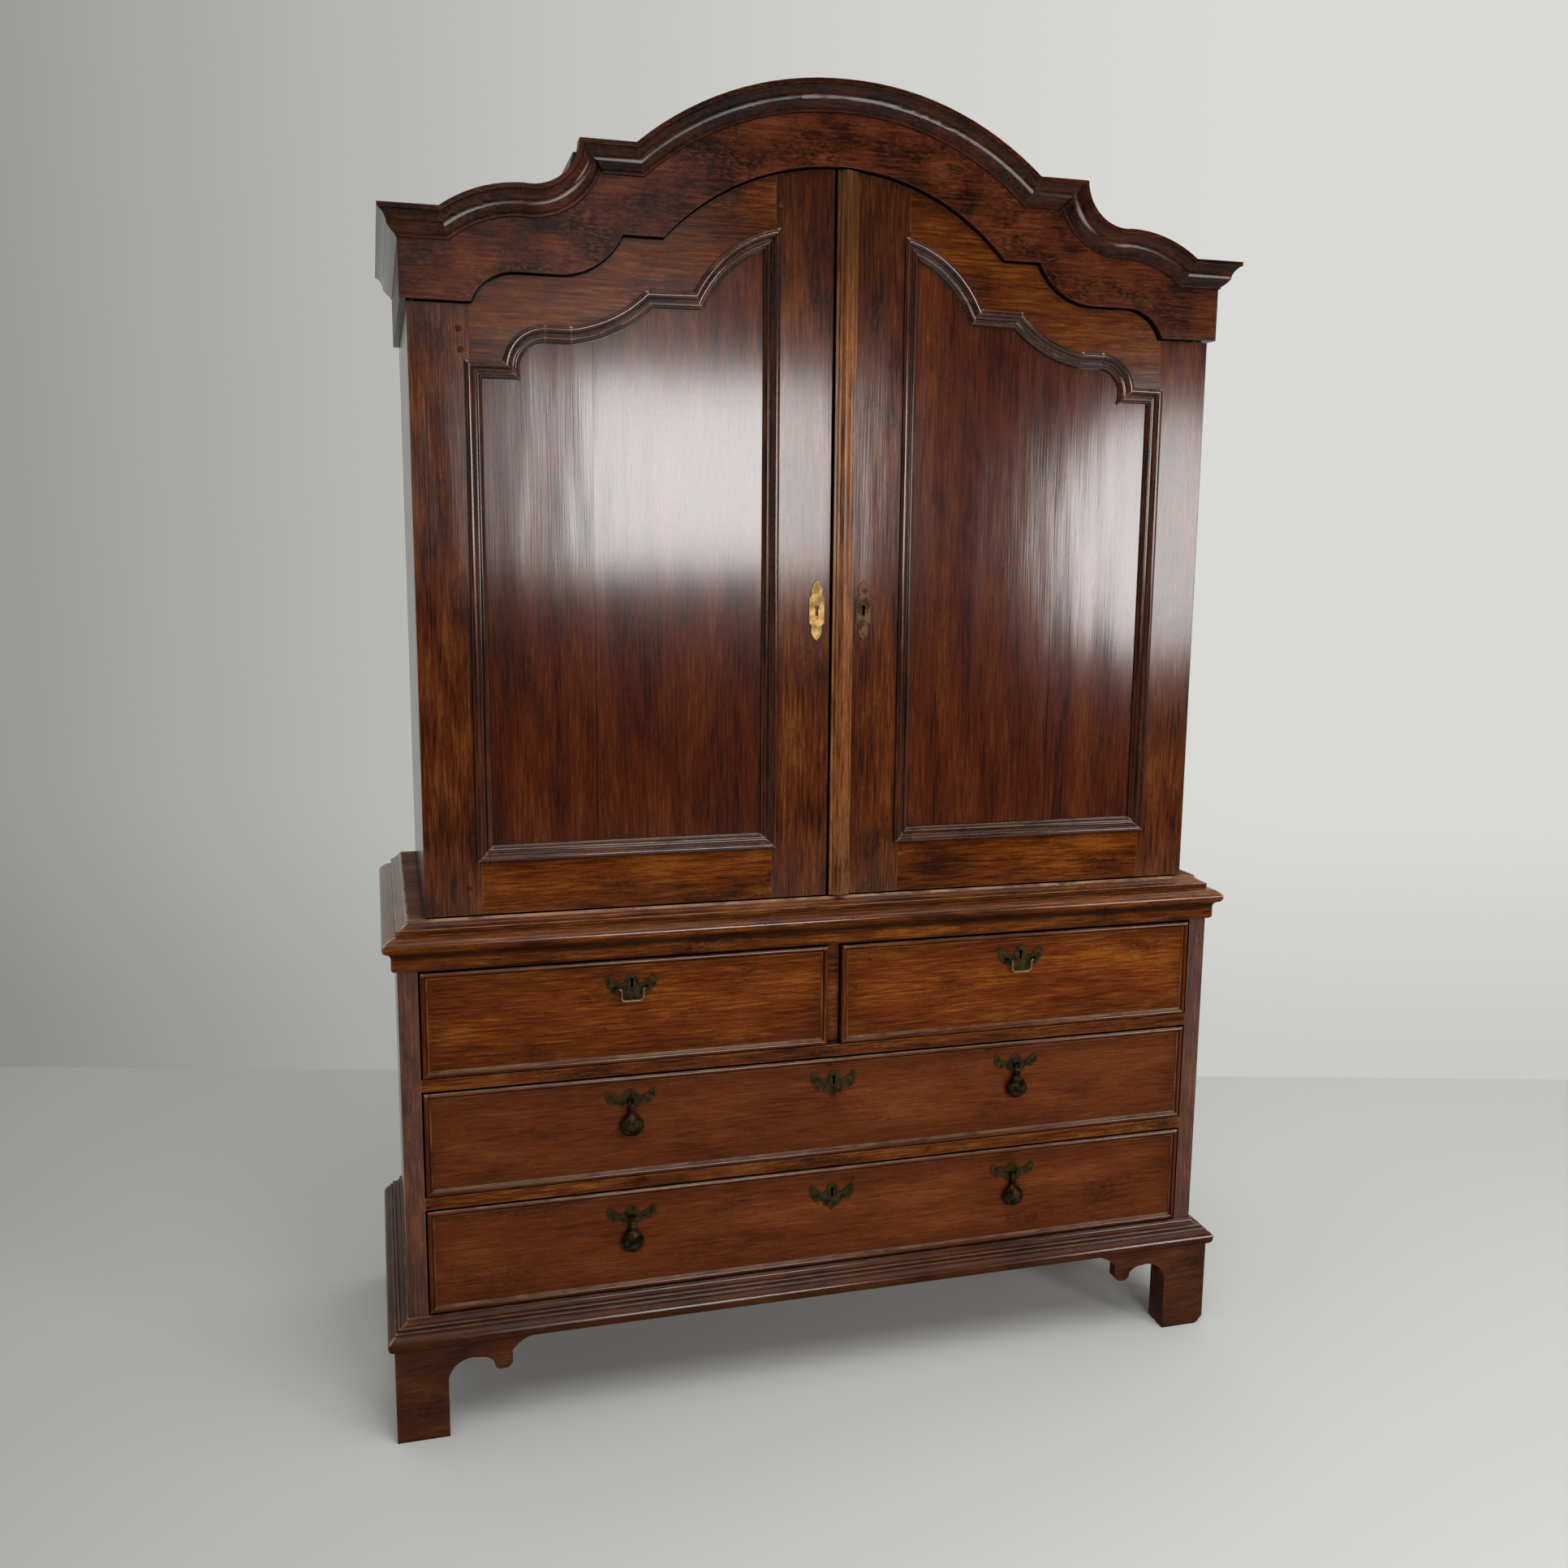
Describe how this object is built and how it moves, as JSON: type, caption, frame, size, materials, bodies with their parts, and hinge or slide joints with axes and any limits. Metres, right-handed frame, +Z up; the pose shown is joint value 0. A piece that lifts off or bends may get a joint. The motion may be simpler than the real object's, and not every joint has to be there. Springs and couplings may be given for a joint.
{
  "type": "linen press",
  "caption": "Oak press: a cupboard with arched panelled doors under a shaped cornice, on a chest of drawers with brass pulls and bracket feet.",
  "frame": {"origin": "on the floor, at the middle of the overall width and depth", "axes": "+X to the viewer's right, -Y out of the front, +Z up"},
  "size_m": [1.572, 0.628, 2.264],
  "materials": {
    "oak_case": "dark varnished oak, glossy",
    "oak_door": "dark varnished oak, glossy, upright grain",
    "oak_drawer": "varnished oak, satin, level grain",
    "oak_strip": "golden varnished oak",
    "oak_inside": "unpolished oak",
    "brass_old": "dark worn brass",
    "brass_bright": "bright polished brass",
    "iron": "dark forged iron"
  },
  "bodies": {
    "case": {"chest_sides": "oak_case", "chest_back_boards": "oak_inside", "chest_bottom_board": "oak_inside", "chest_top_board": "oak_case", "chest_face_frame": "oak_case", "drawer_runners": "oak_inside", "waist_moulding": "oak_case", "base_moulding": "oak_case", "front_feet": "oak_case", "rear_feet": "oak_case", "foot_blocks": "oak_inside", "cupboard_sides": "oak_case", "plinth_board": "oak_case", "cupboard_back_boards": "oak_inside", "roof_boards": "oak_inside", "seat_moulding": "oak_case", "frieze": "oak_case", "crown_front": "oak_case", "crown_returns": "oak_case", "shelves": "oak_inside", "shelf_cleats": "oak_inside", "pivot_bushes": "iron"},
    "left_door": {"left_door_irons": "iron", "left_door_key_plate": "brass_bright", "left_door_stiles": "oak_door", "left_door_rails": "oak_door", "left_door_panel": "oak_door", "left_door_moulding": "oak_door"},
    "right_door": {"right_door_key_plate": "brass_old", "right_door_pivots": "iron", "right_door_astragal": "oak_strip", "right_door_lock": "iron", "right_door_stiles": "oak_door", "right_door_rails": "oak_door", "right_door_panel": "oak_door", "right_door_moulding": "oak_door"},
    "left_door_bolt": {"left_door_bolt": "iron"},
    "right_door_lock_bolt": {"right_door_lock_bolt": "iron"},
    "top_left_drawer": {"top_left_drawer_front": "oak_drawer", "top_left_drawer_box": "oak_inside", "top_left_drawer_fittings": "brass_old"},
    "top_left_drawer_bolt": {"top_left_drawer_bolt": "iron"},
    "top_right_drawer": {"top_right_drawer_front": "oak_drawer", "top_right_drawer_box": "oak_inside", "top_right_drawer_fittings": "brass_old"},
    "top_right_drawer_bolt": {"top_right_drawer_bolt": "iron"},
    "middle_drawer": {"middle_drawer_front": "oak_drawer", "middle_drawer_box": "oak_inside", "middle_drawer_fittings": "brass_old"},
    "middle_drawer_bolt": {"middle_drawer_bolt": "iron"},
    "bottom_drawer": {"bottom_drawer_front": "oak_drawer", "bottom_drawer_box": "oak_inside", "bottom_drawer_fittings": "brass_old"},
    "bottom_drawer_bolt": {"bottom_drawer_bolt": "iron"},
    "top_left_bail": {"top_left_bail": "brass_old"},
    "top_right_bail": {"top_right_bail": "brass_old"},
    "middle_left_drop": {"middle_left_drop": "brass_old"},
    "middle_right_drop": {"middle_right_drop": "brass_old"},
    "bottom_left_drop": {"bottom_left_drop": "brass_old"},
    "bottom_right_drop": {"bottom_right_drop": "brass_old"}
  },
  "joints": [
    {"name": "left_door_hinge", "type": "hinge", "parent": "case", "child": "left_door", "pos_m": [-0.693, -0.2451, 0.909], "axis": [0, 0, -1], "range_deg": [0, 110]},
    {"name": "right_door_hinge", "type": "hinge", "parent": "case", "child": "right_door", "pos_m": [0.693, -0.2451, 0.909], "axis": [0, 0, 1], "range_deg": [0, 110]},
    {"name": "left_door_bolt_slide", "type": "slide", "parent": "left_door", "child": "left_door_bolt", "axis": [0, 0, -1], "range_m": [0, 0.012]},
    {"name": "right_door_lock_slide", "type": "slide", "parent": "right_door", "child": "right_door_lock_bolt", "axis": [-1, 0, 0], "range_m": [0, 0.014]},
    {"name": "top_left_drawer_slide", "type": "slide", "parent": "case", "child": "top_left_drawer", "axis": [0, -1, 0], "range_m": [0, 0.4]},
    {"name": "top_left_drawer_lock_slide", "type": "slide", "parent": "top_left_drawer", "child": "top_left_drawer_bolt", "axis": [0, 0, 1], "range_m": [0, 0.009]},
    {"name": "top_right_drawer_slide", "type": "slide", "parent": "case", "child": "top_right_drawer", "axis": [0, -1, 0], "range_m": [0, 0.4]},
    {"name": "top_right_drawer_lock_slide", "type": "slide", "parent": "top_right_drawer", "child": "top_right_drawer_bolt", "axis": [0, 0, 1], "range_m": [0, 0.009]},
    {"name": "middle_drawer_slide", "type": "slide", "parent": "case", "child": "middle_drawer", "axis": [0, -1, 0], "range_m": [0, 0.4]},
    {"name": "middle_drawer_lock_slide", "type": "slide", "parent": "middle_drawer", "child": "middle_drawer_bolt", "axis": [0, 0, 1], "range_m": [0, 0.009]},
    {"name": "bottom_drawer_slide", "type": "slide", "parent": "case", "child": "bottom_drawer", "axis": [0, -1, 0], "range_m": [0, 0.4]},
    {"name": "bottom_drawer_lock_slide", "type": "slide", "parent": "bottom_drawer", "child": "bottom_drawer_bolt", "axis": [0, 0, 1], "range_m": [0, 0.009]},
    {"name": "top_left_bail_hinge", "type": "hinge", "parent": "top_left_drawer", "child": "top_left_bail", "pos_m": [-0.361, -0.2851, 0.769], "axis": [-1, 0, 0], "range_deg": [0, 90]},
    {"name": "top_right_bail_hinge", "type": "hinge", "parent": "top_right_drawer", "child": "top_right_bail", "pos_m": [0.3665, -0.2851, 0.769], "axis": [-1, 0, 0], "range_deg": [0, 90]},
    {"name": "middle_left_drop_hinge", "type": "hinge", "parent": "middle_drawer", "child": "middle_left_drop", "pos_m": [-0.36424, -0.2871, 0.566], "axis": [-1, 0, 0], "range_deg": [0, 80]},
    {"name": "middle_right_drop_hinge", "type": "hinge", "parent": "middle_drawer", "child": "middle_right_drop", "pos_m": [0.36424, -0.2871, 0.566], "axis": [-1, 0, 0], "range_deg": [0, 80]},
    {"name": "bottom_left_drop_hinge", "type": "hinge", "parent": "bottom_drawer", "child": "bottom_left_drop", "pos_m": [-0.36424, -0.2871, 0.351], "axis": [-1, 0, 0], "range_deg": [0, 80]},
    {"name": "bottom_right_drop_hinge", "type": "hinge", "parent": "bottom_drawer", "child": "bottom_right_drop", "pos_m": [0.36424, -0.2871, 0.351], "axis": [-1, 0, 0], "range_deg": [0, 80]}
  ]
}
